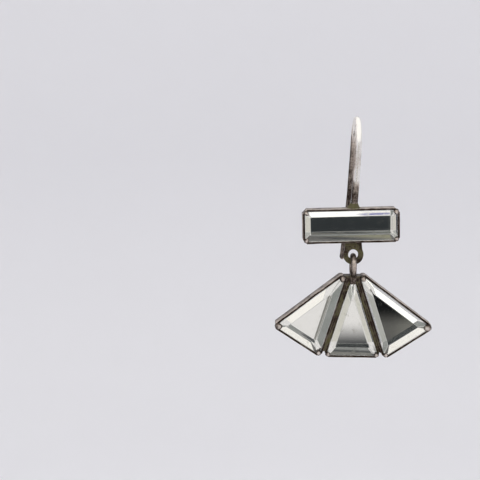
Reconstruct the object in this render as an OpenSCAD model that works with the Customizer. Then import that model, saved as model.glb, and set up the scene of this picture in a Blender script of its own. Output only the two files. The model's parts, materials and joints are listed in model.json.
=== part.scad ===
/* [Ear hook] */
// Height of the arch's underside above the bar
hook_rise = 12.7; // [9:0.1:18]
// Distance between the front leg and the back leg, middle to middle of the wire
hook_depth = 8.8; // [7:0.1:12]
// How far the wire's end hangs below the arch's underside
hook_tail = 22.2; // [16:0.1:26]
// How far the wire's end flares out to the back
hook_flare = 1.2; // [0:0.1:3]
// Sideways lean of the wire, top to the right, in degrees
hook_lean = 1.9; // [0:0.1:4]
// Further drift of the wire's end to the left, from bending by hand
hook_sway = 0.9; // [0:0.1:3]
// Diameter of the wire where it stands on the bar
hook_wire = 1.05; // [0.8:0.05:1.4]
// Diameter of the wire at its end
hook_tip = 0.7; // [0.5:0.05:0.8]
// Radius of the solder round the wire's foot
foot_r = 1.1; // [0.8:0.05:1.15]
// Height of the solder round the wire's foot
foot_h = 0.8; // [0.4:0.1:1.5]

/* [Bar] */
// Width of the bar, outside its walls
bar_w = 14.6; // [11:0.1:18]
// Height of the bar, outside its walls
bar_h = 5.2; // [4.4:0.05:7]
// How far the bar's middle lies to the left of the line that the fan hangs on
bar_shift = 0.45; // [0:0.05:1.5]
// Roll of the bar, right end up, in degrees
bar_roll = 1.4; // [0:0.1:3]
// Width of the bevels on the bar stone's short sides
bar_end_bevel = 0.8; // [0.4:0.05:1]
// Width of the bevel on the bar stone's upper side
bar_top_bevel = 0.75; // [0.6:0.05:1.2]
// Width of the bevel on the bar stone's lower side
bar_low_bevel = 1.15; // [0.6:0.05:1.2]

/* [Fan] */
// Distance from the fan's centre point to the lower edge of a wedge
wedge_len = 14.6; // [12:0.1:18]
// Angle that each wedge takes, in degrees
wedge_angle = 35.2; // [30:0.1:38]
// Gap between neighbouring cups
seam = 0.3; // [0.2:0.02:0.6]
// How far the fan's centre point lies to the left of the line that it hangs on
fan_shift = 0.1; // [0:0.1:1]
// Width of the stones' narrow ends
point_w = 0.57; // [0.4:0.01:1]
// Height of the solid head above the stones' narrow ends
head_h = 0.8; // [0.8:0.05:1.5]
// How far the head reaches down between the stones' narrow ends
head_reach = 0.5; // [0.2:0.1:1.5]
// Depth of the solder that fills the seams, from the back
seam_fill = 1; // [0.4:0.1:2]
// Step from the backs of the cups in to that solder
seam_step = 0.1; // [0.05:0.05:0.3]
// Length of seam left open at its lower end
seam_notch = 0.6; // [0.6:0.1:3]
// Width of the bevels on the wedge stones
fan_bevel = 1.05; // [0.7:0.05:1.15]
// Width of the wedge stones' tables at their narrow ends
table_tip = 0.15; // [0.1:0.01:0.4]

/* [Stones] */
// Height of the stones' straight sides
girdle_h = 1.55; // [1:0.05:2.5]
// Height of the stones' bevels
crown_h = 0.5; // [0.3:0.05:0.8]
// Length cut off along each side at a stone's corner
corner_cut = 0.45; // [0.3:0.05:0.6]
// The same at the table's corners
table_cut = 0.1; // [0.05:0.01:0.2]
// Thickness of the mirror foil behind each stone
foil_t = 0.1; // [0.05:0.01:0.2]

/* [Settings] */
// Thickness of the cups' walls
wall = 0.3; // [0.2:0.01:0.45]
// Thickness of the cups' floors
floor_t = 0.7; // [0.3:0.05:1]
// Clearance round a stone
fit = 0.05; // [0.03:0.01:0.1]
// Clearance in front of a foil and behind it
seat = 0.03; // [0.02:0.01:0.1]
// Radius of the claws
claw_r = 0.42; // [0.35:0.01:0.55]
// How far the claws stand out of the walls
claw_proud = 0.12; // [0.05:0.01:0.2]
// How far the claws stand in front of the cups' rims
claw_h = 0.55; // [0.3:0.05:0.8]
// Radius of the claws' domed ends
claw_dome = 0.8; // [0.7:0.05:1.5]

/* [Link] */
// Thickness of the lug
lug_t = 0.6; // [0.4:0.05:0.8]
// Width of the metal round the lug's hole
lug_rim = 0.765; // [0.5:0.005:1]
// Width of the lug where it meets the bar
lug_neck_w = 2.6; // [2:0.1:3]
// How far the lug's round end stands off the bar
lug_neck = 0.35; // [0.2:0.05:2]
// Inner radius of the loop
loop_r = 1.1; // [0.9:0.05:1.6]
// Diameter of the loop's wire
loop_wire = 0.8; // [0.6:0.05:1]
// How deep the loop is sunk into the fan's head
loop_sink = 0.52; // [0.3:0.01:0.7]
// Clearance between the loop and the lug over the swing
link_play = 0.054; // [0.04:0.002:0.1]

/* [Hidden] */
$fn = 48;

// One row for each wedge, from left to right. The columns are the place in the fan, the shares of
// wedge_len at the left and the right end of the foot, and the shares of fan_bevel for the left
// side, the foot and the right side
WEDGES = [
  [-1, [1.018, 1], 0.97, 1.09, 1.28],
  [0, [0.981, 0.991], 0.82, 1.27, 0.82],
  [1, [1.021, 1.043], 0.93, 1.2, 1.06]
];
PLACE = 0;
REACH = 1;
LEFT = 2;
FOOT = 3;
RIGHT = 4;

metal_colour = "dimgray";
stone_colour = "lightcyan";
foil_colour = "silver";

// Heights above the cups' rims, which stand level with the stones' girdles
foil_front = -girdle_h - seat;
pocket_floor = foil_front - foil_t - seat;
cup_back = pocket_floor - floor_t;
cup_mid = cup_back / 2;

// The line that the fan hangs on, and the middle plane of the cups
drop_x = sideways(hook_rise);
drop_y = -hook_depth / 2;
bar_z = -hook_rise - bar_h / 2;

// The loop's inner circle clears the band under the lug's hole at every angle of the swing,
// and the hole clears the loop's outer circle at a quarter turn
band_reach = norm([lug_t, lug_rim]) / 2;
loop_drop = loop_r - band_reach - link_play;
loop_outer = loop_r + loop_wire;
hole_top = sqrt(pow(loop_outer, 2) - pow(loop_drop - lug_t / 2, 2)) + link_play;
hole_r = (hole_top - lug_rim / 2) / 2;
lug_r = hole_r + lug_rim;
hole_z = -hook_rise - bar_h - lug_neck - lug_r;
swing_z = hole_z - hole_r - lug_rim / 2;
loop_z = swing_z - loop_drop;
head_z = loop_z - loop_outer + loop_sink;

// Radii from the fan's centre point
half_angle = wedge_angle / 2;
stone_in = seam / 2 + wall + fit;
point_r = (point_w / 2 + stone_in / cos(half_angle)) / tan(half_angle);
head_r = point_r - fit - head_h;

// Share of a narrow end's width that is cut off at each of its corners
point_share = 0.2;
point_cut = point_w * point_share;

function unit(v) = v / norm(v);
function inward(a, b) = let(d = unit(b - a)) [-d.y, d.x];
function middle(a, b) = (a + b) / 2;

// Outline p, listed anticlockwise, with the side that starts at corner i moved inward by d[i]
function moved_in(p, d) = [
  for (i = [0:len(p) - 1])
    let(
      last = (i + len(p) - 1) % len(p),
      u = inward(p[last], p[i]),
      v = inward(p[i], p[(i + 1) % len(p)]),
      c = u * v
    )
    p[i] + ((d[last] - d[i] * c) * u + (d[i] - d[last] * c) * v) / (1 - c * c)
];

// Outline p grown by d on every side
function grown(p, d) = moved_in(p, [for (q = p) -d]);

// Outline p with corner i cut back by leg[i] along both its sides
function cut_back(p, leg) = [
  for (i = [0:len(p) - 1])
    let(last = p[(i + len(p) - 1) % len(p)], next = p[(i + 1) % len(p)])
    each [p[i] + unit(last - p[i]) * leg[i], p[i] + unit(next - p[i]) * leg[i]]
];

// A stone's girdle and table outlines: four sides and four cut corners each
function bar_corners() =
  let(w = bar_w / 2 - wall - fit, h = bar_h / 2 - wall - fit)
  [[-w, -h], [w, -h], [w, h], [-w, h]];
function bar_girdle() = cut_back(bar_corners(), [for (i = [0:3]) corner_cut]);
function bar_table() = cut_back(
  moved_in(bar_corners(), [bar_low_bevel, bar_end_bevel, bar_top_bevel, bar_end_bevel]),
  [for (i = [0:3]) table_cut]
);

function wedge_half(r) = r * tan(half_angle) - stone_in / cos(half_angle);
function wedge_corners(row) =
  let(foot = [for (share = row[REACH]) wedge_len * share - wall - fit])
  [
    [-wedge_half(foot[0]), -foot[0]], [wedge_half(foot[1]), -foot[1]],
    [point_w / 2, -point_r], [-point_w / 2, -point_r]
  ];
function wedge_girdle(row) =
  cut_back(wedge_corners(row), [corner_cut, corner_cut, point_cut, point_cut]);
function wedge_table(row) =
  let(
    sides = fan_bevel * (row[LEFT] + row[RIGHT]) + 2 * stone_in,
    tip_r = (table_tip + sides / cos(half_angle)) / (2 * tan(half_angle)),
    bevels = [fan_bevel * row[FOOT], fan_bevel * row[RIGHT], tip_r - point_r, fan_bevel * row[LEFT]],
    tip_cut = table_tip * point_share
  )
  cut_back(moved_in(wedge_corners(row), bevels), [table_cut, table_cut, tip_cut, tip_cut]);

// Ear wire: t is the depth below the arch's underside, s the place along the wire
function sideways(t) = -t * tan(hook_lean) - hook_sway * pow(t / hook_tail, 2);
arch_r = hook_depth / 2;
arch_wire = (hook_wire + hook_tip) / 2;
arch_z = arch_wire / 2 - arch_r;
foot_z = -hook_rise - wall / 2;
tail_z = -hook_tail + hook_tip / 2;
leg_rings = 4;
arch_rings = 18;
tail_rings = 10;
tip_rings = 3;
tip_turn = 75;
wire_sides = 14;
function on_wire(y, z) = [sideways(max(0, -z)), y, z];
wire_path = concat(
  [for (i = [0:leg_rings - 1]) on_wire(-arch_r, foot_z + (arch_z - foot_z) * i / leg_rings)],
  [
    for (i = [0:arch_rings])
      let(a = 180 - 180 * i / arch_rings)
      on_wire(arch_r * cos(a), arch_z + arch_r * sin(a))
  ],
  [
    for (i = [1:tail_rings])
      let(s = i / tail_rings)
      on_wire(arch_r + hook_flare * s * s, arch_z + (tail_z - arch_z) * s)
  ]
);
function wire_run(i) =
  let(a = wire_path[max(0, i - 1)], b = wire_path[min(len(wire_path) - 1, i + 1)])
  unit(b - a);
function wire_ring(centre, run, radius) =
  let(side = unit(cross(run, [1, 0, 0])), across = cross(side, run))
  [
    for (k = [0:wire_sides - 1])
      let(a = 360 * k / wire_sides)
      centre + radius * (cos(a) * across + sin(a) * side)
  ];
wire_end = len(wire_path) - 1;
wire_rings = concat(
  [
    for (i = [0:wire_end])
      let(d = hook_wire + (hook_tip - hook_wire) * i / wire_end)
      wire_ring(wire_path[i], wire_run(i), d / 2)
  ],
  [
    for (i = [1:tip_rings])
      let(a = tip_turn * i / tip_rings, r = hook_tip / 2)
      wire_ring(wire_path[wire_end] + wire_run(wire_end) * r * sin(a), wire_run(wire_end), r * cos(a))
  ]
);

// Solid through rings of points, all listed the same way round, from the bottom to the top
module skin(rings) {
  n = len(rings[0]);
  top = (len(rings) - 1) * n;
  polyhedron(
    points = [for (r = rings) each r],
    faces = concat(
      [[for (i = [0:n - 1]) i]],
      [
        for (k = [0:len(rings) - 2])
          for (i = [0:n - 1])
            [k * n + i, (k + 1) * n + i, (k + 1) * n + (i + 1) % n, k * n + (i + 1) % n]
      ],
      [[for (i = [0:n - 1]) top + n - 1 - i]]
    )
  );
}

// Solid through level outlines, given as rows of a height and an outline
module stack(levels) {
  skin([for (level = levels) [for (q = level[1]) [q.x, q.y, level[0]]]]);
}

module cut_stone(girdle, table) {
  color(stone_colour)
    stack([[-girdle_h, girdle], [0, girdle], [crown_h, table]]);
}

module foil(girdle) {
  color(foil_colour)
    translate([0, 0, foil_front - foil_t])
      linear_extrude(foil_t)
        polygon(girdle);
}

// Room that a cup and its claws leave for the stone and the foil
module pocket(girdle, table) {
  stack([
    [pocket_floor, grown(girdle, fit)],
    [fit, grown(girdle, fit)],
    [crown_h + fit, grown(table, fit)]
  ]);
}

// Block that a setting's outline stands in, from the back of its floors to its rims
module block(outline) {
  translate([0, 0, cup_back])
    linear_extrude(-cup_back)
      polygon(outline);
}

// Claw at the middle of the girdle side that starts at point i
module claw(girdle, i) {
  a = girdle[i];
  b = girdle[(i + 1) % len(girdle)];
  at = middle(a, b) - inward(a, b) * (fit + wall + claw_proud - claw_r);
  translate([at.x, at.y, claw_h - claw_dome])
    intersection() {
      cylinder(r = claw_r, h = 3 * claw_dome, center = true);
      sphere(r = claw_dome);
    }
}

// Turns a piece that is drawn flat and faces up, with its rims at height 0, to face the front
module upright(x, z) {
  translate([x, drop_y, z])
    rotate([90, 0, 0])
      translate([0, 0, -cup_mid])
        children();
}

module in_bar() {
  translate([drop_x, 0, bar_z])
    rotate([0, -bar_roll, 0])
      upright(-bar_shift, 0) children();
}

module in_fan() {
  upright(drop_x - fan_shift, head_z + head_r) children();
}

module in_wedge(row) {
  rotate([0, 0, row[PLACE] * wedge_angle]) children();
}

module ear_wire() {
  skin(wire_rings);
  translate([drop_x, drop_y, -hook_rise - wall / 2])
    cylinder(r1 = foot_r, r2 = hook_wire / 2, h = foot_h);
}

module lug() {
  neck_top = -hook_rise - bar_h + wall / 2;
  translate([drop_x, drop_y, 0])
    difference() {
      union() {
        translate([0, 0, hole_z])
          rotate([90, 0, 0])
            cylinder(r = lug_r, h = lug_t, center = true);
        translate([-lug_neck_w / 2, -lug_t / 2, hole_z])
          cube([lug_neck_w, lug_t, neck_top - hole_z]);
      }
      translate([0, 0, hole_z])
        rotate([90, 0, 0])
          cylinder(r = hole_r, h = 2 * lug_t, center = true);
    }
}

module hook_and_bar_setting() {
  girdle = bar_girdle();
  color(metal_colour) {
    in_bar()
      difference() {
        union() {
          block(grown(girdle, fit + wall));
          for (i = [0:2:6]) claw(girdle, i);
        }
        pocket(girdle, bar_table());
      }
    ear_wire();
    lug();
  }
}

function turned(q, a) = [q.x * cos(a) - q.y * sin(a), q.x * sin(a) + q.y * cos(a)];

// Outline of the three cups and of the head that joins their narrow ends and is level on top
function fan_outline() =
  let(
    edge = 1.5 * wedge_angle,
    top_x = head_r * tan(edge) - seam / 2 / cos(edge),
    low_r = point_r + head_reach
  )
  concat(
    [[-top_x, -head_r]],
    [
      for (row = WEDGES)
        let(cup = grown(wedge_girdle(row), fit + wall), a = row[PLACE] * wedge_angle)
        each concat(
          [for (i = [0:3]) turned(cup[i], a)],
          row[PLACE] == 1 ? [] : [for (x = [-seam, seam] / 2) turned([x, -low_r], a + half_angle)]
        )
    ],
    [[top_x, -head_r]]
  );

// Solder in the seam on one side of the middle cup, a step in from the backs of the cups
module seam_solder(side) {
  w = seam + wall;
  rotate([0, 0, side * half_angle])
    translate([-w / 2, seam_notch - wedge_len, cup_back + seam_step])
      cube([w, wedge_len - seam_notch - point_r, seam_fill - seam_step]);
}

module loop() {
  translate([drop_x, drop_y, loop_z])
    rotate([0, 90, 0])
      rotate_extrude()
        translate([loop_r + loop_wire / 2, 0])
          circle(d = loop_wire);
}

module fan_setting() {
  color(metal_colour) {
    in_fan()
      difference() {
        union() {
          block(fan_outline());
          for (side = [-1, 1]) seam_solder(side);
          for (row = WEDGES)
            in_wedge(row)
              for (i = [0, 2, 5]) claw(wedge_girdle(row), i);
        }
        for (row = WEDGES)
          in_wedge(row) pocket(wedge_girdle(row), wedge_table(row));
      }
    loop();
  }
}

module bar_stone() {
  in_bar() cut_stone(bar_girdle(), bar_table());
}

module bar_foil() {
  in_bar() foil(bar_girdle());
}

module fan_stone(row) {
  in_fan() in_wedge(row) cut_stone(wedge_girdle(row), wedge_table(row));
}

module fan_foil(row) {
  in_fan() in_wedge(row) foil(wedge_girdle(row));
}

hook_and_bar_setting();
bar_stone();
bar_foil();
fan_setting();
fan_stone(WEDGES[0]);  // fan_stone_left
fan_stone(WEDGES[1]);  // fan_stone_middle
fan_stone(WEDGES[2]);  // fan_stone_right
fan_foil(WEDGES[0]);  // fan_foil_left
fan_foil(WEDGES[1]);  // fan_foil_middle
fan_foil(WEDGES[2]);  // fan_foil_right
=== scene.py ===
"""Fan drop earring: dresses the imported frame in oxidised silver, cut crystal and mirror foil."""
import json
import math

import bmesh
import bpy
import numpy as np
from mathutils import Matrix, Vector, noise


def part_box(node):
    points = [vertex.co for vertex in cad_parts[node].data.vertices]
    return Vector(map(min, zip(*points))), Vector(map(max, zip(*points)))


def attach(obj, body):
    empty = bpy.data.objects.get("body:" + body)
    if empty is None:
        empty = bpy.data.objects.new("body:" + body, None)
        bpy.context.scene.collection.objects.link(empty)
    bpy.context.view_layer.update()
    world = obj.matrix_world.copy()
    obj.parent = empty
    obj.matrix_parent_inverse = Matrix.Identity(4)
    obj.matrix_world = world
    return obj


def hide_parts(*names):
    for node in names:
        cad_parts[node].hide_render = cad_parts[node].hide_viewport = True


bl_info = {
    "name": "Fan Drop Earring",
    "version": (1, 0, 0),
    "blender": (4, 5, 0),
    "location": "View3D > Sidebar > Earring",
    "description": "Builds a fan drop earring of oxidised silver and foiled crystal on its frame",
    "category": "Object",
}

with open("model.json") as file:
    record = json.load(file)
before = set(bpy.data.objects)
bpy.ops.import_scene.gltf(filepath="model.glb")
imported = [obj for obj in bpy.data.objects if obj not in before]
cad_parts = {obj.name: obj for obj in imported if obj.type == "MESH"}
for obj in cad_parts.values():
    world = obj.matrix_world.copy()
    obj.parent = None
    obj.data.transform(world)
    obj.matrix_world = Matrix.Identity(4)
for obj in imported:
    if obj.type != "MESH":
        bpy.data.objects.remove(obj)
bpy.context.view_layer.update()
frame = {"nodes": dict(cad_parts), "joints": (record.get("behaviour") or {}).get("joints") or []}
SWING = Vector(frame["joints"][0]["pos_m"])
# Hand work comes out uneven in the same way on every run
noise.seed_set(3)

MM = 0.001
# Points nearer than the first count as one, and doubled points nearer than the second are merged
SAME = 0.01 * MM
DOUBLED = 0.001 * MM
# Edges that turn by more than this stay sharp
SHARP_ANGLE = math.radians(50)
ROUNDING_STEPS = 3
# Share of green crust on the sheet metal away from the solder
THIN_CRUST = 0.08
UP = Vector((0, 0, 1))
BACK = Vector((0, 1, 0))
RIGHT = Vector((1, 0, 0))
WIRE_BODY = "ear_wire"
FAN_BODY = "fan"
WIRE_NODE = "hook_and_bar_setting"
FAN_NODE = "fan_setting"
WEDGES = ("left", "middle", "right")
MATERIALS = {}

LENS_MM = 89.1
SENSOR_WIDTH_MM = 36
TENT_STRENGTH = 1.1
SCREEN_STRENGTH = 1.3
# The light screen and the dark flag on its left stand behind the camera, only so that the stones
# mirror them as painted reflections: where they stand, and from where to where they reach across
# and upwards, in millimetres
SHEETS_Y = -190
SCREEN_REACH = ((-95, 100), (-130, 70))
FLAG_REACH = ((-300, -190), (-100, -40))

# Tones of the patches painted on the light screen, which the flat stones mirror as painted
# reflections and painted shade
REFLECTION_TONES = {
    "white": "fffefa", "pale": "e5e1dd", "light": "bbb8b1", "grey": "9b9b97", "smoke": "7b7d7b",
    "olive": "7e7c68", "drab": "6d6c67", "slate": "565553", "charcoal": "2c2f31",
    "black": "131415", "blue": "2a3890",
}
# Patches painted on the light screen as reflections for the stones: the left, right, lower and
# upper edge of each patch, how far its edges fade to the sides and up and down, all in millimetres,
# and its tone
PAINTED_REFLECTIONS = (
    (-14, 24, -130, -96.5, 3, 1.5, "white"),
    (24, 54, -130, -96.5, 3, 1.5, "pale"),
    (9, 16, -105.8, -94, 1, 0.6, "grey"),
    (23, 33.5, -108.4, -107.75, 3, 0.15, "blue"),
    (64, 82, -106, -78, 3, 3, "light"),
    (-46, -29, -104, -76, 3, 3, "light"),
    (-82, -60, -62, -30, 2, 3, "smoke"),
    (70, 86, -72, -44, 3, 3, "grey"),
    (62, 70, -50, -34, 1.5, 3, "light"),
    (-16, -6, -78, -71, 1, 1, "smoke"),
    (-16, -9, -40, -34, 1, 1, "drab"),
    (-62, -38, -119, -109, 2, 1, "smoke"),
    (-39, -32, -48, -36, 1.5, 2, "light"),
    (-31.7, -25, -70, -46, 0.7, 3, "drab"),
    (50, 62, -39, -26, 2, 2, "smoke"),
    (21, 31, -37, -33, 1, 0.8, "smoke"),
    (46, 64, -2, 16, 1, 3, "pale"),
    (-22, -5, -13, 3.5, 3, 2, "pale"),
    (-90, -64, -24, 0, 4, 3, "charcoal"),
    (-47, -30, -6, 34, 2, 3, "grey"),
    (64.5, 76, -6, 14, 1, 2, "grey"),
    (-1, 31, -31, 40, 3, 3, "slate"),
    (-12, 44, 30, 66, 3, 4, "slate"),
    (-4, 30, -2, 3.2, 3, 0.2, "drab"),
    (-4, 30, 0.65, 1.25, 3, 0.1, "charcoal"),
    (-4, 27, 1.35, 3.2, 3, 0.1, "smoke"),
    (-1, 31, 54.9, 58, 3, 0.5, "olive"),
    (6, 34, 53.75, 54.4, 4, 0.2, "charcoal"),
    (-8, 40, -61, -37, 3, 1, "charcoal"),
    (10.5, 24, -95, -74.7, 1.5, 4.4, "charcoal"),
    (22.5, 41, -95, -50, 1, 3, "black"),
    (22.5, 41, -95, -70, 1, 3.5, "slate"),
    (32, 41, -95, -71, 4, 3, "drab"),
)
# How bare the ear wire wears, on its front and its back leg, by the depth below the arch in
# millimetres; the bright arch is wear and painted highlight, and the bright band about 8 mm down
# the front leg is a painted highlight
LEG_DEPTHS = (0, 1.5, 3, 4.5, 6.2, 8, 10.1, 14, 22)
FRONT_WEAR_AND_HIGHLIGHTS = (1.05, 1.05, 1.02, 0.92, 0.82, 1.15, 0.4, 0.4, 0.4)
BACK_WEAR_AND_HIGHLIGHTS = (1.05, 0.95, 0.8, 0.62, 0.55, 0.48, 0.35, 0.32, 0.5)


def linear(code):
    """Linear colour of an sRGB hex value."""
    shares = [int(code[i:i + 2], 16) / 255 for i in (0, 2, 4)]
    return tuple(s / 12.92 if s <= 0.04045 else ((s + 0.055) / 1.055) ** 2.4 for s in shares)


def length(name, description, default_mm):
    """A length that is given in millimetres and kept in metres."""
    return bpy.props.FloatProperty(
        name=name, description=description, default=default_mm * MM,
        min=0, unit="LENGTH", precision=5,
    )


def angle(name, description, default_degrees):
    """An angle that is given in degrees and kept in radians."""
    return bpy.props.FloatProperty(
        name=name, description=description, default=math.radians(default_degrees),
        subtype="ANGLE",
    )


def colour(name, description, code):
    """A colour that is given as an sRGB hex value and kept linear."""
    return bpy.props.FloatVectorProperty(
        name=name, description=description, default=linear(code),
        size=3, min=0, max=1, subtype="COLOR",
    )


class EarWireSizes(bpy.types.PropertyGroup):
    rise: length("Rise", "Height of the arch's underside above the bar", 12.7)
    depth: length("Depth", "Distance between the middles of the front and the back leg", 8.8)
    tail: length("Tail", "How far the wire's end hangs below the arch's underside", 22.2)
    flare: length("Flare", "How far the wire's end flares out to the back", 1.2)
    lean: angle("Lean", "Sideways lean of the wire, top to the right", 1.9)
    sway: length("Sway", "Further drift of the wire's end to the left", 0.9)
    wire: length("Wire", "Diameter of the wire where it stands on the bar", 1.05)
    tip: length("Tip", "Diameter of the wire at its end", 0.7)
    foot_radius: length("Foot radius", "Radius of the solder round the wire's foot", 1.35)
    foot_height: length("Foot height", "Height of the solder round the wire's foot", 0.8)


class SettingSizes(bpy.types.PropertyGroup):
    wall: length("Wall", "Thickness of the cups' walls", 0.3)
    fit: length("Fit", "Clearance round a stone", 0.05)
    floor: length("Floor", "Thickness of the cups' floors", 0.7)
    seat: length("Seat", "Clearance behind a foil", 0.03)
    rim_round: length("Rim rounding", "Radius of the worn rims", 0.09)
    hand_swell: length("Hand swell", "How far hand work bends the rims", 0.035)
    claw_radius: length("Claw radius", "Radius of the claws", 0.36)
    claw_reach: length("Claw reach", "How far the claws bend in over the stones", 0.4)
    claw_proud: length("Claw stand", "How far the claws stand out of the walls", 0.12)
    claw_root: length("Claw root", "How far the claws run down the walls behind the rims", 1.05)


class FanSizes(bpy.types.PropertyGroup):
    seam_depth: length("Seam depth", "How deep the solder lies between the cups' rims", 0.1)
    seam_notch: length("Seam notch", "Length of seam left open at its lower end", 0.3)
    tab_width: length("Tab width", "Width of the tab over the middle stone's tip", 1.06)
    tab_height: length("Tab height", "Height of the tab over the middle stone's tip", 1.15)
    tab_thickness: length("Tab thickness", "Thickness of the tab over the middle stone's tip", 0.35)


class LinkSizes(bpy.types.PropertyGroup):
    lug_thickness: length("Lug thickness", "Thickness of the lug", 0.6)
    lug_rim: length("Lug rim", "Width of the metal round the lug's hole", 0.765)
    lug_hole: length("Lug hole", "Radius of the lug's hole", 0.777)
    lug_neck: length("Lug neck", "Width of the lug where it meets the bar", 2.6)
    loop_radius: length("Loop radius", "Inner radius of the loop", 1.08)
    loop_wire: length("Loop wire", "Diameter of the loop's wire", 0.85)
    loop_sink: length("Loop sink", "How deep the loop is sunk into the fan's head", 0.52)


class EarringColours(bpy.types.PropertyGroup):
    patina: colour("Patina", "Oxidised silver in the hollows", "3a302a")
    bare: colour("Bare silver", "Silver worn bright on the raised edges", "d4c6ba")
    polished: colour("Polished silver", "Silver rubbed to a polish by wear", "f6f3ee")
    verdigris: colour("Verdigris", "Green crust on the solder", "595434")
    crystal: colour("Crystal", "Cut crystal, seen through once", "fdfefd")
    foil: colour("Foil", "Mirror foil behind the stones", "f6f5f3")
    foil_spots: colour("Foil spots", "Aged spots in the mirror foil", "dcdad2")


class StageSettings(bpy.types.PropertyGroup):
    distance: length("Camera distance", "Distance of the camera from the point it looks at", 180)
    elevation: angle("Camera elevation", "Height of the camera above the horizon", 8.5)
    aside: length("Aside", "How far the camera's line passes to the left of the ear wire", 17.9)
    below: length("Below", "How far the point it looks at lies below the ear wire's arch", 17.6)
    paper: colour("Paper", "Matt paper of the floor and the backdrop", "ececf0")
    tent: colour("Tent", "Light that comes through the tent", "fffefc")
    screen: colour("Screen", "Light of the screen in front of the stones", "d0cdcd")


def setting_of(group):
    """The scene's values of one property group."""
    return getattr(bpy.context.scene, group)


def node(tree, kind, inputs=None, **settings):
    """Adds a node with its settings, and its inputs as values or as sockets to link."""
    made = tree.nodes.new(kind)
    for name, value in settings.items():
        setattr(made, name, value)
    for name, value in (inputs or {}).items():
        socket = made.inputs[name]
        if isinstance(value, bpy.types.NodeSocket):
            tree.links.new(value, socket)
        else:
            socket.default_value = (*value, 1) if socket.type == "RGBA" else value
    return made


def blank_material(name):
    """A material with an empty tree, and the socket of its Object coordinates."""
    material = bpy.data.materials.new(name)
    material.use_nodes = True
    tree = material.node_tree
    tree.nodes.clear()
    return material, tree, node(tree, "ShaderNodeTexCoord").outputs["Object"]


def oxidised_silver():
    """Sterling silver sheet and wire, soldered by hand and blackened.

    The oxide keeps a soft brown-black sheen, raised edges wear back to pinkish bare silver, and a
    dull green crust sits where flux was left on the solder. The same wear values also carry painted
    highlights and painted shade.
    """
    colours = setting_of("earring_colours")
    material, tree, place = blank_material("oxidised_sterling_silver")
    wear_and_painted_light = node(tree, "ShaderNodeAttribute", attribute_name="wear_and_painted_light").outputs["Fac"]
    green = node(tree, "ShaderNodeAttribute", attribute_name="verdigris").outputs["Fac"]
    # Blotches of oxide are about 1.3 mm across and the rubbed specks in them 0.25 mm
    blotches, specks = (
        node(
            tree, "ShaderNodeTexNoise", {"Vector": place, "Scale": 1 / size, "Detail": detail},
        ).outputs["Fac"]
        for size, detail in ((1.3 * MM, 3.0), (0.25 * MM, 4.0))
    )
    # Edges show where the rounded normal turns away from the flat one
    edges = node(tree, "ShaderNodeBevel", {"Radius": 0.12 * MM}, samples=6).outputs["Normal"]
    facing = node(
        tree, "ShaderNodeVectorMath",
        {0: edges, 1: node(tree, "ShaderNodeNewGeometry").outputs["Normal"]},
        operation="DOT_PRODUCT",
    ).outputs["Value"]
    edge = node(
        tree, "ShaderNodeMapRange", {"Value": facing, "From Min": 0.995, "From Max": 0.9},
        interpolation_type="SMOOTHSTEP",
    ).outputs["Result"]
    # Each layer: what it starts from, what the patterns add to it, and where it starts and is full
    layers = []
    for total, patterns, start, full in (
        (wear_and_painted_light, ((blotches, 1.1), (specks, 0.9), (edge, 0.3)), 1.15, 2.1),
        (wear_and_painted_light, ((specks, 0.25), (blotches, 0.25)), 0.95, 1.3),
        (green, ((blotches, 1.5), (specks, 1.0)), 1.55, 1.95),
    ):
        for pattern, share in patterns:
            total = node(
                tree, "ShaderNodeMath", {0: pattern, 1: share, 2: total}, operation="MULTIPLY_ADD",
            ).outputs[0]
        layer = node(
            tree, "ShaderNodeMapRange", {"Value": total, "From Min": start, "From Max": full},
            interpolation_type="SMOOTHSTEP",
        )
        layers.append(layer.outputs["Result"])
    # The bare and polished layers follow the wear attribute, so they also carry its painted
    # highlights and painted shade
    bare, polish, crust = layers
    tint = colours.patina
    roughness = 0.42
    for layer, over, rougher in (
        (bare, colours.bare, -0.1), (polish, colours.polished, -0.12),
        (crust, colours.verdigris, 0.25),
    ):
        tint = node(
            tree, "ShaderNodeMix", {0: layer, 6: tint, 7: over}, data_type="RGBA",
        ).outputs[2]
        roughness = node(
            tree, "ShaderNodeMath", {0: layer, 1: rougher, 2: roughness},
            operation="MULTIPLY_ADD",
        ).outputs[0]
    roughness = node(
        tree, "ShaderNodeMath", {0: specks, 1: 0.1, 2: roughness}, operation="MULTIPLY_ADD",
    ).outputs[0]
    height = node(
        tree, "ShaderNodeMath", {0: blotches, 1: 0.6, 2: specks}, operation="MULTIPLY_ADD",
    ).outputs[0]
    grain = node(
        tree, "ShaderNodeBump", {"Height": height, "Distance": 0.03 * MM, "Strength": 0.6},
    ).outputs["Normal"]
    # The crust isn't metal
    metal = node(
        tree, "ShaderNodeMapRange", {"Value": crust, "From Min": 1.2, "From Max": 0.0},
        interpolation_type="SMOOTHSTEP",
    ).outputs["Result"]
    shader = node(
        tree, "ShaderNodeBsdfPrincipled",
        {"Base Color": tint, "Metallic": metal, "Roughness": roughness, "Normal": grain},
    )
    node(tree, "ShaderNodeOutputMaterial", {"Surface": shader.outputs[0]})
    return material


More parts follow.
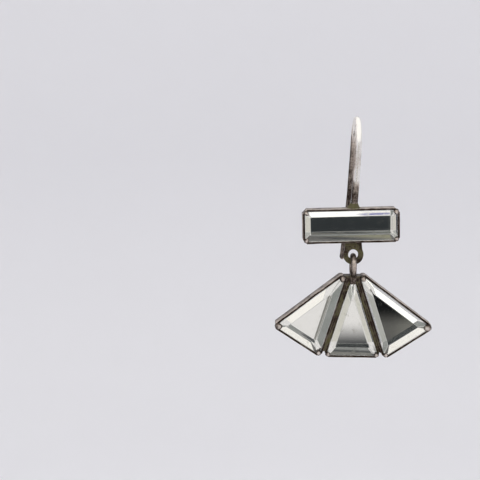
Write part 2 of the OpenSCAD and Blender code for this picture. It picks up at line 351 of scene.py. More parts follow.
def cut_crystal():
    """Rock crystal, cut and polished: clear, with a faint grey-green cast in its depth."""
    colours = setting_of("earring_colours")
    material, tree, place = blank_material("cut_rock_crystal")
    # Hand polishing leaves ripples about 3 mm long
    ripples = node(
        tree, "ShaderNodeTexNoise", {"Vector": place, "Scale": 1 / (3 * MM), "Detail": 1.0},
    ).outputs["Fac"]
    # Facets meet in edges that polishing has rounded by 0.09 mm
    facets = node(tree, "ShaderNodeBevel", {"Radius": 0.09 * MM}, samples=8).outputs["Normal"]
    polish = node(
        tree, "ShaderNodeBump",
        {"Height": ripples, "Distance": 0.004 * MM, "Strength": 0.28, "Normal": facets},
    ).outputs["Normal"]
    shader = node(
        tree, "ShaderNodeBsdfPrincipled",
        {"Base Color": colours.crystal, "Roughness": 0.0, "IOR": 1.544,
         "Transmission Weight": 1.0, "Normal": polish},
    )
    node(tree, "ShaderNodeOutputMaterial", {"Surface": shader.outputs[0]})
    return material


def mirror_foil():
    """Bright silver foil: a mirror that age has dulled in small soft spots."""
    colours = setting_of("earring_colours")
    material, tree, place = blank_material("silvered_foil")
    # Spots of age are about 0.8 mm across
    spots = node(
        tree, "ShaderNodeTexNoise", {"Vector": place, "Scale": 1 / (0.8 * MM), "Detail": 5.0},
    ).outputs["Fac"]
    aged = node(
        tree, "ShaderNodeMapRange", {"Value": spots, "From Min": 0.55, "From Max": 0.85},
        interpolation_type="SMOOTHSTEP",
    ).outputs["Result"]
    tint = node(
        tree, "ShaderNodeMix", {0: aged, 6: colours.foil, 7: colours.foil_spots},
        data_type="RGBA",
    ).outputs[2]
    roughness = node(
        tree, "ShaderNodeMath", {0: aged, 1: 0.12, 2: 0.02}, operation="MULTIPLY_ADD",
    ).outputs[0]
    shader = node(
        tree, "ShaderNodeBsdfPrincipled",
        {"Base Color": tint, "Metallic": 1.0, "Roughness": roughness},
    )
    node(tree, "ShaderNodeOutputMaterial", {"Surface": shader.outputs[0]})
    return material


def matt_paper():
    """Thick matt paper, rolled: even, with a cloudiness that shows only over a hand's breadth."""
    paper = setting_of("earring_stage").paper
    material, tree, place = blank_material("matt_paper")
    # Clouds of fibres are about 60 mm across
    clouds = node(
        tree, "ShaderNodeTexNoise", {"Vector": place, "Scale": 1 / (60 * MM), "Detail": 2.0},
    ).outputs["Fac"]
    tint = node(
        tree, "ShaderNodeMix", {0: clouds, 6: paper, 7: [0.985 * share for share in paper]},
        data_type="RGBA",
    ).outputs[2]
    shader = node(
        tree, "ShaderNodeBsdfPrincipled",
        {"Base Color": tint, "Roughness": 1.0, "Specular IOR Level": 0.0},
    )
    node(tree, "ShaderNodeOutputMaterial", {"Surface": shader.outputs[0]})
    return material


def painted_reflection_screen():
    """Opal acrylic, lit from behind: an even glow, dimmed by soft-edged patches painted on it,
    which the stones mirror as painted reflections and painted shade.
    """
    material, tree, place = blank_material("painted_reflection_acrylic")
    axes = node(tree, "ShaderNodeSeparateXYZ", {"Vector": place})
    tint = setting_of("earring_stage").screen
    for left, right, low, high, aside, along, shade in PAINTED_REFLECTIONS:
        # The painted patch covers all of its inside and fades out over each edge
        cover = 1.0
        for axis, edge, fade in (
            ("X", left, aside), ("X", right, -aside), ("Z", low, along), ("Z", high, -along),
        ):
            cover = node(
                tree, "ShaderNodeMapRange",
                {"Value": axes.outputs[axis], "From Min": (edge - fade) * MM,
                 "From Max": (edge + fade) * MM, "To Max": cover},
                interpolation_type="SMOOTHSTEP",
            ).outputs["Result"]
        tint = node(
            tree, "ShaderNodeMix", {0: cover, 6: tint, 7: linear(REFLECTION_TONES[shade])},
            data_type="RGBA",
        ).outputs[2]
    glow = node(tree, "ShaderNodeEmission", {"Color": tint, "Strength": SCREEN_STRENGTH})
    node(tree, "ShaderNodeOutputMaterial", {"Surface": glow.outputs[0]})
    return material


def dark_reflection_felt():
    """Blue-black wool felt, pressed: it swallows the light beside the stage, and the stones mirror
    it as a painted dark reflection.
    """
    material, tree, place = blank_material("dark_reflection_felt")
    # Tufts are about 2 mm across
    tufts = node(
        tree, "ShaderNodeTexNoise", {"Vector": place, "Scale": 1 / (2 * MM), "Detail": 2.0},
    ).outputs["Fac"]
    tint = node(
        tree, "ShaderNodeMix", {0: tufts, 6: linear("191b2a"), 7: linear("23263a")},
        data_type="RGBA",
    ).outputs[2]
    shader = node(
        tree, "ShaderNodeBsdfPrincipled",
        {"Base Color": tint, "Roughness": 1.0, "Specular IOR Level": 0.0},
    )
    node(tree, "ShaderNodeOutputMaterial", {"Surface": shader.outputs[0]})
    return material


def shared_material(make):
    """The material of this maker, made once."""
    if make not in MATERIALS:
        MATERIALS[make] = make()
    return MATERIALS[make]


def hand_made(verts, by, over):
    """Moves points by up to a small distance, in swells of the given length."""
    for vert in verts:
        vert.co += by * noise.noise_vector(vert.co / over)


def mark(bm, name, value):
    """Writes each point's wear, with its painted light, or its green, as an attribute that the
    silver reads.
    """
    layer = bm.verts.layers.float.get(name) or bm.verts.layers.float.new(name)
    for vert in bm.verts:
        vert[layer] = value(vert) if callable(value) else value


def finish_piece(bm, name, body, replaced, wear_and_painted_light=0.0, green=0.0):
    """Turns a bmesh into a finished piece of silver that rides on a body and stands for a node."""
    bmesh.ops.recalc_face_normals(bm, faces=bm.faces)
    mark(bm, "wear_and_painted_light", wear_and_painted_light)
    mark(bm, "verdigris", green)
    mesh = bpy.data.meshes.new(name)
    bm.to_mesh(mesh)
    bm.free()
    mesh.shade_smooth()
    mesh.set_sharp_from_angle(angle=SHARP_ANGLE)
    mesh.materials.append(shared_material(oxidised_silver))
    piece = bpy.data.objects.new(name, mesh)
    bpy.context.scene.collection.objects.link(piece)
    flats = piece.modifiers.new("Even flats", "WEIGHTED_NORMAL")
    flats.keep_sharp = True
    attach(piece, body)
    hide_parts(replaced)


def edges_of(verts):
    """All edges that end in these points, each once."""
    return list(dict.fromkeys(edge for vert in verts for edge in vert.link_edges))


def swept(bm, path, radii, sides):
    """Closed tube through the points of a path, with a radius at each of them."""
    rings = []
    for i, (middle, radius) in enumerate(zip(path, radii)):
        run = path[min(i + 1, len(path) - 1)] - path[max(i - 1, 0)]
        turn = run.to_track_quat("Z", "X").to_matrix().to_4x4()
        ring = bmesh.ops.create_circle(
            bm, segments=sides, radius=radius, matrix=Matrix.Translation(middle) @ turn,
        )
        rings.append(edges_of(ring["verts"]))
    for ring, following in zip(rings, rings[1:]):
        bmesh.ops.bridge_loops(bm, edges=ring + following)
    bmesh.ops.holes_fill(bm, edges=rings[0] + rings[-1])


def slab(bm, outline, front_y, depth):
    """Closed plate with this outline, from front_y back to a depth; returns its front points."""
    face = bm.faces.new([bm.verts.new(point) for point in at_depth(outline, front_y)])
    front = list(face.verts)
    plate = bmesh.ops.extrude_face_region(bm, geom=[face])["geom"]
    behind = [part for part in plate if isinstance(part, bmesh.types.BMVert)]
    bmesh.ops.translate(bm, verts=behind, vec=BACK * depth)
    return front


def rounded(bm, offset, sharper_than):
    """Bevels the edges that are sharper than an angle in degrees."""
    bmesh.ops.recalc_face_normals(bm, faces=bm.faces)
    limit = math.radians(sharper_than)
    bmesh.ops.bevel(
        bm, geom=[edge for edge in bm.edges if edge.calc_face_angle(0) > limit],
        offset=offset, affect="EDGES", segments=ROUNDING_STEPS, profile=0.5, material=-1,
    )


def outline_of(stone):
    """Corners of a stone's flat back, anticlockwise as seen from the front."""
    points = [vert.co for vert in frame["nodes"][stone].data.vertices]
    back = max(point.y for point in points)
    corners = []
    for point in points:
        if back - point.y < SAME and all((point - c).length > SAME for c in corners):
            corners.append(point.copy())
    middle = sum(corners, Vector()) / len(corners)
    return sorted(corners, key=lambda c: math.atan2(c.z - middle.z, c.x - middle.x))


def girdle_front(stone):
    """Depth at which a stone's straight sides end and its bevels start."""
    points = [vert.co for vert in frame["nodes"][stone].data.vertices]
    outermost = max(point.x for point in points)
    return min(point.y for point in points if outermost - point.x < SAME)


def outward(first, second):
    """Outward direction of the side between two corners of an anticlockwise outline."""
    return BACK.cross((second - first).normalized())


def grown(outline, by):
    """Outline moved outward by the same distance on every side."""
    moved = []
    for i, corner in enumerate(outline):
        before = outward(outline[i - 1], corner)
        after = outward(corner, outline[(i + 1) % len(outline)])
        moved.append(corner + by * (before + after) / (1 + before.dot(after)))
    return moved


def stepped(outline, step):
    """Outline with points added along its long sides, about a step apart."""
    points = []
    for i, corner in enumerate(outline):
        following = outline[(i + 1) % len(outline)]
        parts = max(1, round((following - corner).length / step))
        points += [corner.lerp(following, k / parts) for k in range(parts)]
    return points


def at_depth(points, y):
    """The same points, all moved to one depth."""
    return [Vector((point.x, y, point.z)) for point in points]


def sides_of(outline):
    """Each corner of an outline with the one that follows it."""
    return [(corner, outline[(i + 1) % len(outline)]) for i, corner in enumerate(outline)]


def short_sides(outline, least, most):
    """Sides of an outline whose length lies between two values."""
    return [
        (first, second) for first, second in sides_of(outline)
        if least < (second - first).length < most
    ]


def longest_side(outline, facing):
    """Longest side of those that face roughly this way."""
    return max(
        (pair for pair in sides_of(outline) if outward(*pair).dot(facing) > 0.5),
        key=lambda pair: (pair[1] - pair[0]).length,
    )


def open_cup(bm, stone):
    """Cup of thin sheet round a stone: floor, walls and a worn rim."""
    sizes = setting_of("earring_setting")
    rim_y = girdle_front(stone)
    floor_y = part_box(stone.replace("stone", "foil"))[1].y + sizes.seat
    outline = stepped(grown(outline_of(stone), sizes.fit + sizes.wall), step=0.8 * MM)
    slab(bm, outline, rim_y, floor_y + sizes.floor - rim_y)
    top = min(bm.faces, key=lambda face: face.calc_center_median().y)
    # Two insets, so that the rim has a row of points along its middle
    for _ in range(2):
        bmesh.ops.inset_region(bm, faces=[top], thickness=sizes.wall / 2, use_even_offset=True)
    well = bmesh.ops.extrude_face_region(bm, geom=[top])["geom"]
    bmesh.ops.delete(bm, geom=[top], context="FACES_ONLY")
    floor = [part for part in well if isinstance(part, bmesh.types.BMVert)]
    bmesh.ops.translate(bm, verts=floor, vec=BACK * (floor_y - rim_y))
    on_rim = [vert for vert in bm.verts if abs(vert.co.y - rim_y) < SAME]
    hand_made(on_rim, by=sizes.hand_swell, over=2.2 * MM)
    rounded(bm, sizes.rim_round, sharper_than=50)


def claw(bm, first, second, rim_y, size=1.0):
    """Claw at the middle of an outline's side, bent over the stone and pressed to a bead."""
    sizes = setting_of("earring_setting")
    out = outward(first, second)
    root = (first + second) / 2
    # No two claws were pressed alike: their radius and reach vary by up to these shares
    radius_varies, reach_varies = 0.22, 0.3
    press = noise.noise_vector(root / (0.9 * MM))
    radius = size * sizes.claw_radius * (1 + radius_varies * press.x)
    reach = size * sizes.claw_reach * (1 + reach_varies * press.y)
    root = root + out * (sizes.fit + sizes.wall + sizes.claw_proud - radius)
    # Shares of the reach inward, heights in front of the rim and shares of the radius
    steps = (
        (0, -sizes.claw_root, 0.75), (0, -0.5 * sizes.claw_root, 0.95), (0, -0.1 * MM, 1),
        (0.12, 0.12 * MM, 1), (0.4, 0.26 * MM, 0.92), (0.75, 0.32 * MM, 0.74), (1, 0.3 * MM, 0.35),
    )
    path = [
        Vector((root.x, rim_y - height, root.z)) - out * share * reach
        for share, height, width in steps
    ]
    swept(bm, path, [width * radius for share, height, width in steps], sides=12)
    hand_made(bm.verts, by=0.09 * MM, over=0.45 * MM)


def facing_wear_and_highlight(vert, low, high):
    """Wear and painted light of a round piece: high where it faces the viewer, as a painted
    highlight, and low on its sides, as painted dark outlines.
    """
    return float(np.interp(-vert.normal.y, (0.35, 0.85), (low, high)))


def sheet_wear_and_painted_light(rim_y, vert):
    """Wear and painted light of a cup: a rim painted dark as shade between two edges bright as
    painted highlights, half bare walls painted darker on the left than on the right, and a dark
    back.
    """
    # The left and right walls differ as painted shade, and the rim's dark front and bright edges
    # are painted shade and painted highlights
    shaded_left_wall, lit_right_wall, back, rubbed_edge_highlight, rim = 0.3, 0.46, 0.22, 0.7, 0.14
    rounded_depth = 0.12 * MM
    if vert.co.y > rim_y + rounded_depth:
        wall = np.interp(vert.normal.x, (-0.6, 0.6), (shaded_left_wall, lit_right_wall))
        return float(np.interp(vert.normal.y, (0.5, 0.95), (wall, back)))
    return float(np.interp(-vert.normal.y, (0.7, 0.97), (rubbed_edge_highlight, rim)))


def add_claws(stone, name, body, replaced):
    """Claws at the cut corners of a stone's outline, larger at the fan's outer tips."""
    rim_y = girdle_front(stone)
    cut_corners = short_sides(outline_of(stone), least=0.4 * MM, most=1 * MM)
    for i, (first, second) in enumerate(cut_corners):
        at_tip = abs(outward(first, second).x) > 0.9
        bm = bmesh.new()
        claw(bm, first, second, rim_y, size=1.5 if at_tip else 1.0)
        finish_piece(
            bm, f"{name}_{i + 1}", body, replaced,
            wear_and_painted_light=lambda vert: facing_wear_and_highlight(vert, low=0.15, high=0.85),
        )


class EARRING_OT_ear_wire(bpy.types.Operator):
    """Draws the ear wire from the bar over the arch to its rounded end, with its soldered foot"""
    bl_idname = "earring.ear_wire"
    bl_label = "Ear Wire"

    def execute(self, context):
        sizes = setting_of("earring_wire")
        leg_steps, arch_steps, tail_steps = 8, 36, 18
        sunk = 0.1 * MM
        arch_r = sizes.depth / 2
        arch_z = (sizes.wire + sizes.tip) / 4 - arch_r
        foot_z = -sizes.rise - sunk
        tail_z = -sizes.tail + sizes.tip / 2

        def on_wire(y, z):
            down = max(0, -z)
            drift = sizes.sway * (down / sizes.tail) ** 2
            return Vector((-down * math.tan(sizes.lean) - drift, y, z))

        path = [
            on_wire(-arch_r, foot_z + (arch_z - foot_z) * i / leg_steps) for i in range(leg_steps)
        ]
        for i in range(arch_steps + 1):
            turn = math.pi * (1 - i / arch_steps)
            path.append(on_wire(arch_r * math.cos(turn), arch_z + arch_r * math.sin(turn)))
        for i in range(1, tail_steps + 1):
            share = i / tail_steps
            y = arch_r + sizes.flare * share ** 2
            path.append(on_wire(y, arch_z + (tail_z - arch_z) * share))
        last = len(path) - 1
        radii = [(sizes.wire + (sizes.tip - sizes.wire) * i / last) / 2 for i in range(last + 1)]
        # The end is filed to a half ball
        run = (path[-1] - path[-2]).normalized()
        end = path[-1]
        for turn in (25, 50, 70, 85):
            path.append(end + run * sizes.tip / 2 * math.sin(math.radians(turn)))
            radii.append(sizes.tip / 2 * math.cos(math.radians(turn)))
        bm = bmesh.new()
        swept(bm, path, radii, sides=24)
        hand_made(bm.verts, by=0.03 * MM, over=5 * MM)
        finish_piece(bm, "ear_wire_hook", WIRE_BODY, WIRE_NODE, wear_and_painted_light=self.wire_wear_and_light)
        self.solder_foot(sizes)
        return {"FINISHED"}

    def wire_wear_and_light(self, vert):
        """Wear and painted light of the wire: bright over the arch and in a painted highlight band
        down the front leg, less so down both legs, and painted shade on their left.
        """
        depth = -vert.co.z / MM
        front, back = (np.interp(depth, LEG_DEPTHS, wear_and_painted_light) for wear_and_painted_light in (FRONT_WEAR_AND_HIGHLIGHTS, BACK_WEAR_AND_HIGHLIGHTS))
        behind = np.interp(vert.co.y / MM, (-1, 4), (0, 1))
        # Faces turned to the left get painted shade, which grows below the arch
        aside = np.interp(vert.normal.dot(RIGHT - BACK), (-0.6, 0.4), (-0.3, 0.05))
        below_arch = np.interp(depth, (0, 2), (0.3, 1))
        return float(front + (back - front) * behind + aside * below_arch)

    def solder_foot(self, sizes):
        """Fillet of solder round the wire where it stands on the bar."""
        # Shares of the fillet's radius and of its height
        profile = ((1.0, 0.0), (0.82, 0.12), (0.66, 0.35), (0.55, 0.7), (0.47, 1.0), (0.0, 1.05))
        sunk = 0.12 * MM
        foot = Vector((SWING.x, SWING.y, -sizes.rise - sunk))
        bm = bmesh.new()
        points = [
            bm.verts.new(foot + RIGHT * share * sizes.foot_radius + UP * rise * sizes.foot_height)
            for share, rise in profile
        ]
        edges = [bm.edges.new(pair) for pair in zip(points, points[1:])]
        bmesh.ops.spin(
            bm, geom=points + edges, cent=foot, axis=UP, angle=2 * math.pi, steps=28,
            use_merge=True,
        )
        bmesh.ops.remove_doubles(bm, verts=bm.verts, dist=DOUBLED)
        bmesh.ops.holes_fill(bm, edges=[edge for edge in bm.edges if edge.is_boundary])
        hand_made(bm.verts, by=0.09 * MM, over=0.7 * MM)
        finish_piece(bm, "ear_wire_solder", WIRE_BODY, WIRE_NODE, wear_and_painted_light=0.38, green=0.68)


class EARRING_OT_bar_setting(bpy.types.Operator):
    """Raises the bar's cup round its stone and bends four claws over the stone's corners"""
    bl_idname = "earring.bar_setting"
    bl_label = "Bar Setting"

    def execute(self, context):
        rim_y = girdle_front("bar_stone")
        bm = bmesh.new()
        open_cup(bm, "bar_stone")
        finish_piece(
            bm, "bar_cup", WIRE_BODY, WIRE_NODE,
            wear_and_painted_light=lambda vert: sheet_wear_and_painted_light(rim_y, vert), green=THIN_CRUST,
        )
        add_claws("bar_stone", "bar_claw", WIRE_BODY, WIRE_NODE)
        return {"FINISHED"}


class EARRING_OT_lug(bpy.types.Operator):
    """Cuts the lug below the bar: a plate with a round end, a hole and worn edges"""
    bl_idname = "earring.lug"
    bl_label = "Lug"

    def execute(self, context):
        sizes = setting_of("earring_link")
        outer = sizes.lug_hole + sizes.lug_rim
        middle = SWING + UP * (sizes.lug_hole + sizes.lug_rim / 2)
        wall_lap = 0.2 * MM
        neck_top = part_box("bar_stone")[0].z - wall_lap
        facing = Matrix.Translation(middle - BACK * sizes.lug_thickness / 2)
        facing @= Matrix.Rotation(math.pi / 2, 4, "X")
        bm = bmesh.new()
        hole, rim = (
            bmesh.ops.create_circle(bm, segments=48, radius=radius, matrix=facing)
            for radius in (sizes.lug_hole, outer)
        )
        bmesh.ops.bridge_loops(bm, edges=edges_of(hole["verts"] + rim["verts"]))
        # The upper part of the rim runs straight up to the bar, as the neck
        for vert in rim["verts"]:
            aside = vert.co.x - middle.x
            if vert.co.z > middle.z and abs(aside) < sizes.lug_neck / 2:
                vert.co.z = neck_top
        plate = bmesh.ops.extrude_face_region(bm, geom=list(bm.faces))["geom"]
        back = [part for part in plate if isinstance(part, bmesh.types.BMVert)]
        bmesh.ops.translate(bm, verts=back, vec=BACK * sizes.lug_thickness)
        hand_made(bm.verts, by=0.05 * MM, over=1.5 * MM)
        rounded(bm, 0.06 * MM, sharper_than=60)
        finish_piece(bm, "lug_plate", WIRE_BODY, WIRE_NODE, wear_and_painted_light=0.3, green=0.5)
        return {"FINISHED"}


class EARRING_OT_fan_setting(bpy.types.Operator):
    """Raises the three wedge cups, joins them with a head and solder, and bends their claws"""
    bl_idname = "earring.fan_setting"
    bl_label = "Fan Setting"

    def execute(self, context):
        sizes = setting_of("earring_setting")
        self.rim_y = girdle_front("fan_stone_middle")
        self.back_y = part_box("fan_foil_middle")[1].y + sizes.seat + sizes.floor
        self.outlines = {
            wedge: grown(outline_of(f"fan_stone_{wedge}"), sizes.fit + sizes.wall)
            for wedge in WEDGES
        }
        self.seams = [longest_side(self.outlines["middle"], side) for side in (-RIGHT, RIGHT)]
        for wedge in WEDGES:
            self.cup_with_claws(wedge)
        self.head()
        self.seam("left", "middle", RIGHT)
        self.seam("middle", "right", RIGHT)
        self.tab()
        self.tip_claws()
        return {"FINISHED"}

    def cup_with_claws(self, wedge):
        """Cup round one wedge stone, and the claws at the stone's lower corners."""
        stone = f"fan_stone_{wedge}"
        bm = bmesh.new()
        open_cup(bm, stone)
        finish_piece(
            bm, f"fan_cup_{wedge}", FAN_BODY, FAN_NODE,
            wear_and_painted_light=lambda vert: sheet_wear_and_painted_light(self.rim_y, vert), green=self.seam_crust,
        )
        add_claws(stone, f"fan_claw_{wedge}", FAN_BODY, FAN_NODE)

    def seam_crust(self, vert):
        """Green crust on the walls beside the seams, but hardly any elsewhere."""
        crust_width, clean_back, thick_crust = 0.35 * MM, 0.5 * MM, 0.5
        nearest = min(
            abs((vert.co - first).dot(outward(first, second))) for first, second in self.seams
        )
        by_seam = nearest < crust_width and vert.co.y < self.back_y - clean_back
        return thick_crust if by_seam else THIN_CRUST

    def head_top(self):
        """Height of the head's top, in which the loop is sunk."""
        link = setting_of("earring_link")
        loop_outer = link.loop_radius + link.loop_wire
        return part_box(FAN_NODE)[1].z - 2 * loop_outer + link.loop_sink

    def head(self):
        """Block that joins the cups' narrow ends, level on top."""
        side_lap, crown_lap, wall_inset = 0.3 * MM, 0.7 * MM, 0.03 * MM
        behind_rim, off_back = 0.04 * MM, 0.06 * MM
        top_z = self.head_top()
        outer = {
            "left": longest_side(self.outlines["left"], UP - RIGHT),
            "right": longest_side(self.outlines["right"], UP + RIGHT),
        }
        # Each outer side runs on up to the head's top, just inside the cup's wall
        tops = {}
        tips = {}
        for wedge, (first, second) in outer.items():
            high, low = (first, second) if first.z > second.z else (second, first)
            run = (high - low) / (high.z - low.z)
            inside = outward(first, second) * wall_inset
            tops[wedge] = high + run * (top_z - high.z) - inside
            tips[wedge] = high - run * side_lap - inside
        crown = sorted(self.outlines["middle"], key=lambda corner: -corner.z)[:2]
        crown.sort(key=lambda corner: corner.x)
        inner_z = max(corner.z for corner in crown) - crown_lap
        inner = [Vector((corner.x, 0, inner_z)) for corner in crown]
        outline = [tops["left"], tips["left"], *inner, tips["right"], tops["right"]]
        bm = bmesh.new()
        depth = self.back_y - self.rim_y - behind_rim - off_back
        slab(bm, outline, self.rim_y + behind_rim, depth)
        rounded(bm, 0.08 * MM, sharper_than=50)
        finish_piece(bm, "fan_head", FAN_BODY, FAN_NODE, wear_and_painted_light=0.25, green=0.3)

    def seam(self, left, right, aside):
        """Solder in the seam between two cups, up to just behind their rims."""
        sizes = setting_of("earring_fan")
        wall_lap, off_back = 0.18 * MM, 0.1 * MM
        near = longest_side(self.outlines[left], aside)
        far = longest_side(self.outlines[right], -aside)
        near = sorted(near, key=lambda corner: corner.z)
        far = sorted(far, key=lambda corner: corner.z)
        run = (near[1] - near[0]).normalized()
        corners = [
            near[0] + run * sizes.seam_notch - aside * wall_lap,
            far[0] + run * sizes.seam_notch + aside * wall_lap,
            far[1] + aside * wall_lap, near[1] - aside * wall_lap,
        ]
        bm = bmesh.new()
        front_y = self.rim_y + sizes.seam_depth
        outline = stepped(corners, step=0.5 * MM)
        front = slab(bm, outline, front_y, self.back_y - front_y - off_back)
        hand_made(front, by=0.07 * MM, over=0.6 * MM)
        # Rubbed and green patches take turns along the seam
        finish_piece(
            bm, f"seam_solder_{left}_{right}", FAN_BODY, FAN_NODE,
            wear_and_painted_light=lambda vert: 0.34 + 0.5 * noise.noise(vert.co / (1.4 * MM)),
            green=lambda vert: 0.46 - 0.5 * noise.noise(vert.co / (1.1 * MM)),
        )

    def tab(self):
        """Tab soldered in front of the head, which holds the middle stone's tip."""
        sizes = setting_of("earring_fan")
        below_top, rim_lap, taper = 0.1 * MM, 0.15 * MM, 0.8
        outline = self.outlines["middle"]
        middle_x = sum(corner.x for corner in outline) / len(outline)
        top_z = self.head_top() - below_top
        low_z = top_z - sizes.tab_height
        half = sizes.tab_width / 2
        corners = [
            Vector((middle_x - taper * half, 0, low_z)),
            Vector((middle_x + taper * half, 0, low_z)),
            Vector((middle_x + half, 0, top_z)), Vector((middle_x - half, 0, top_z)),
        ]
        bm = bmesh.new()
        slab(bm, corners, self.rim_y - sizes.tab_thickness, sizes.tab_thickness + rim_lap)
        rounded(bm, 0.14 * MM, sharper_than=50)
        hand_made(bm.verts, by=0.08 * MM, over=0.5 * MM)
        finish_piece(bm, "fan_tab", FAN_BODY, FAN_NODE, wear_and_painted_light=0.3, green=0.15)

    def tip_claws(self):
        """Claws that hold the outer stones' narrow ends."""
        end_width = 0.34 * MM
        for wedge in ("left", "right"):
            outline = outline_of(f"fan_stone_{wedge}")
            ends = [pair for pair in sides_of(outline) if outward(*pair).z > 0.5]
            first, second = min(
                ends, key=lambda pair: abs((pair[1] - pair[0]).length - end_width),
            )
            bm = bmesh.new()
            claw(bm, first, second, self.rim_y, size=1.35)
            finish_piece(
                bm, f"fan_tip_claw_{wedge}", FAN_BODY, FAN_NODE,
                wear_and_painted_light=lambda vert: facing_wear_and_highlight(vert, low=0.1, high=0.7),
            )


class EARRING_OT_hanging_loop(bpy.types.Operator):
    """Bends the wire loop that stands in the fan's head and passes through the lug's hole"""
    bl_idname = "earring.hanging_loop"
    bl_label = "Hanging Loop"

    def execute(self, context):
        sizes = setting_of("earring_link")
        loop_outer = sizes.loop_radius + sizes.loop_wire
        middle = Vector((SWING.x, SWING.y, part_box(FAN_NODE)[1].z - loop_outer))
        wire_middle = middle + BACK * (sizes.loop_radius + sizes.loop_wire / 2)
        bm = bmesh.new()
        ring = bmesh.ops.create_circle(
            bm, segments=20, radius=sizes.loop_wire / 2, matrix=Matrix.Translation(wire_middle),
        )
        bmesh.ops.spin(
            bm, geom=ring["verts"] + edges_of(ring["verts"]), cent=middle, axis=RIGHT,
            angle=2 * math.pi, steps=48, use_merge=True,
        )
        bmesh.ops.remove_doubles(bm, verts=bm.verts, dist=DOUBLED)
        hand_made(bm.verts, by=0.02 * MM, over=1.2 * MM)
        finish_piece(
            bm, "hanging_loop", FAN_BODY, FAN_NODE,
            wear_and_painted_light=lambda vert: facing_wear_and_highlight(vert, low=0.2, high=0.7),
        )
        self.loop_solder(sizes, middle - UP * (loop_outer - sizes.loop_sink))
        return {"FINISHED"}

    def loop_solder(self, sizes, foot):
        """Solder that fills the corner between the loop and the head."""
        thickness = 0.1 * MM
        flattened = Matrix.Diagonal((1.05, 2.6, 0.45, 1))
        bm = bmesh.new()
        bmesh.ops.create_icosphere(
            bm, subdivisions=3, radius=sizes.loop_wire / 2 + thickness,
            matrix=Matrix.Translation(foot) @ flattened,
        )
        hand_made(bm.verts, by=0.08 * MM, over=0.6 * MM)
        finish_piece(bm, "loop_solder", FAN_BODY, FAN_NODE, wear_and_painted_light=0.3, green=0.3)


class EARRING_OT_stones(bpy.types.Operator):
    """Gives the cut stones and the foils behind them their finish"""
    bl_idname = "earring.stones"
    bl_label = "Stones and Foils"

    def execute(self, context):
        for name, piece in frame["nodes"].items():
            make = cut_crystal if "stone" in name else mirror_foil if "foil" in name else None
            if make:
                piece.data.materials.clear()
                piece.data.materials.append(shared_material(make))
        return {"FINISHED"}


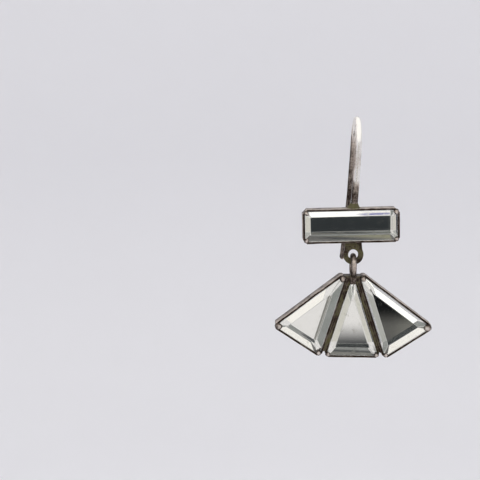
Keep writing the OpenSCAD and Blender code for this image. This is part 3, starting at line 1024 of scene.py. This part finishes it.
class EARRING_OT_stage(bpy.types.Operator):
    """Sets the pale floor and backdrop, the soft light and the camera"""
    bl_idname = "earring.stage"
    bl_label = "Stage"

    def execute(self, context):
        sizes = setting_of("earring_stage")
        self.camera(context, sizes)
        self.backdrop(context)
        self.sheet(context, "screen", painted_reflection_screen, *SCREEN_REACH)
        self.sheet(context, "side_flag", dark_reflection_felt, *FLAG_REACH)
        self.light(context, sizes)
        context.scene.view_settings.view_transform = "Standard"
        return {"FINISHED"}

    def camera(self, context, sizes):
        """Camera at the photograph's viewing angle."""
        data = bpy.data.cameras.new("camera")
        data.lens = LENS_MM
        data.sensor_width = SENSOR_WIDTH_MM
        data.clip_start = 1 * MM
        data.clip_end = 10
        camera = bpy.data.objects.new("camera", data)
        target = Vector((-sizes.aside, SWING.y, -sizes.below))
        back = Vector((0, -math.cos(sizes.elevation), math.sin(sizes.elevation)))
        camera.location = target + back * sizes.distance
        camera.rotation_mode = "QUATERNION"
        camera.rotation_quaternion = (-back).to_track_quat("-Z", "Y")
        context.scene.collection.objects.link(camera)
        context.scene.camera = camera

    def set_piece(self, context, bm, name, make):
        """Turns a bmesh into a piece of the stage."""
        bmesh.ops.recalc_face_normals(bm, faces=bm.faces)
        mesh = bpy.data.meshes.new(name)
        bm.to_mesh(mesh)
        bm.free()
        mesh.shade_smooth()
        mesh.materials.append(shared_material(make))
        piece = bpy.data.objects.new(name, mesh)
        context.scene.collection.objects.link(piece)
        return piece

    def backdrop(self, context):
        """Round floor that curves up into a wall on every side."""
        radius, depth, sweep, wall = 0.45, 0.16, 0.12, 0.2
        steps = 10
        profile = [Vector((0, 0, -depth))]
        for i in range(steps + 1):
            turn = math.pi / 2 * i / steps
            x = radius - sweep + sweep * math.sin(turn)
            profile.append(Vector((x, 0, sweep - sweep * math.cos(turn) - depth)))
        profile.append(Vector((radius, 0, wall)))
        bm = bmesh.new()
        points = [bm.verts.new(point) for point in profile]
        edges = [bm.edges.new(pair) for pair in zip(points, points[1:])]
        bmesh.ops.spin(
            bm, geom=points + edges, cent=Vector(), axis=UP, angle=2 * math.pi, steps=96,
            use_merge=True,
        )
        bmesh.ops.remove_doubles(bm, verts=bm.verts, dist=SAME)
        self.set_piece(context, bm, "paper_bowl", matt_paper)

    def sheet(self, context, name, make, across, height):
        """Upright sheet behind the camera, which isn't in view but which the stones mirror."""
        bm = bmesh.new()
        corners = [
            Vector((across[i] * MM, SHEETS_Y * MM, height[k] * MM))
            for i, k in ((0, 0), (1, 0), (1, 1), (0, 1))
        ]
        bm.faces.new([bm.verts.new(corner) for corner in corners])
        sheet = self.set_piece(context, bm, name, make)
        sheet.visible_camera = False

    def light(self, context, sizes):
        """Soft light from all sides, as in a light tent."""
        world = bpy.data.worlds.new("light_tent")
        context.scene.world = world
        world.use_nodes = True
        background = world.node_tree.nodes["Background"]
        background.inputs["Color"].default_value = (*sizes.tent, 1)
        background.inputs["Strength"].default_value = TENT_STRENGTH


class EARRING_PT_panel(bpy.types.Panel):
    """Sizes, colours and pieces of the earring"""
    bl_idname = "EARRING_PT_panel"
    bl_label = "Fan Drop Earring"
    bl_space_type = "VIEW_3D"
    bl_region_type = "UI"
    bl_category = "Earring"

    def draw(self, context):
        for group in GROUPS:
            box = self.layout.box()
            values = getattr(context.scene, group)
            for name in type(values).__annotations__:
                box.prop(values, name)
        for step in STEPS:
            self.layout.operator(step.bl_idname)


GROUPS = {
    "earring_wire": EarWireSizes,
    "earring_setting": SettingSizes,
    "earring_fan": FanSizes,
    "earring_link": LinkSizes,
    "earring_colours": EarringColours,
    "earring_stage": StageSettings,
}
STEPS = (
    EARRING_OT_ear_wire,
    EARRING_OT_bar_setting,
    EARRING_OT_lug,
    EARRING_OT_fan_setting,
    EARRING_OT_hanging_loop,
    EARRING_OT_stones,
    EARRING_OT_stage,
)


def register():
    for group, sizes in GROUPS.items():
        bpy.utils.register_class(sizes)
        setattr(bpy.types.Scene, group, bpy.props.PointerProperty(type=sizes))
    for step in (*STEPS, EARRING_PT_panel):
        bpy.utils.register_class(step)


def unregister():
    for step in (EARRING_PT_panel, *reversed(STEPS)):
        bpy.utils.unregister_class(step)
    for group, sizes in GROUPS.items():
        delattr(bpy.types.Scene, group)
        bpy.utils.unregister_class(sizes)


def main():
    register()
    bpy.ops.earring.ear_wire()
    bpy.ops.earring.bar_setting()
    bpy.ops.earring.lug()
    bpy.ops.earring.fan_setting()
    bpy.ops.earring.hanging_loop()
    bpy.ops.earring.stones()
    bpy.ops.earring.stage()


if __name__ == "__main__":
    main()
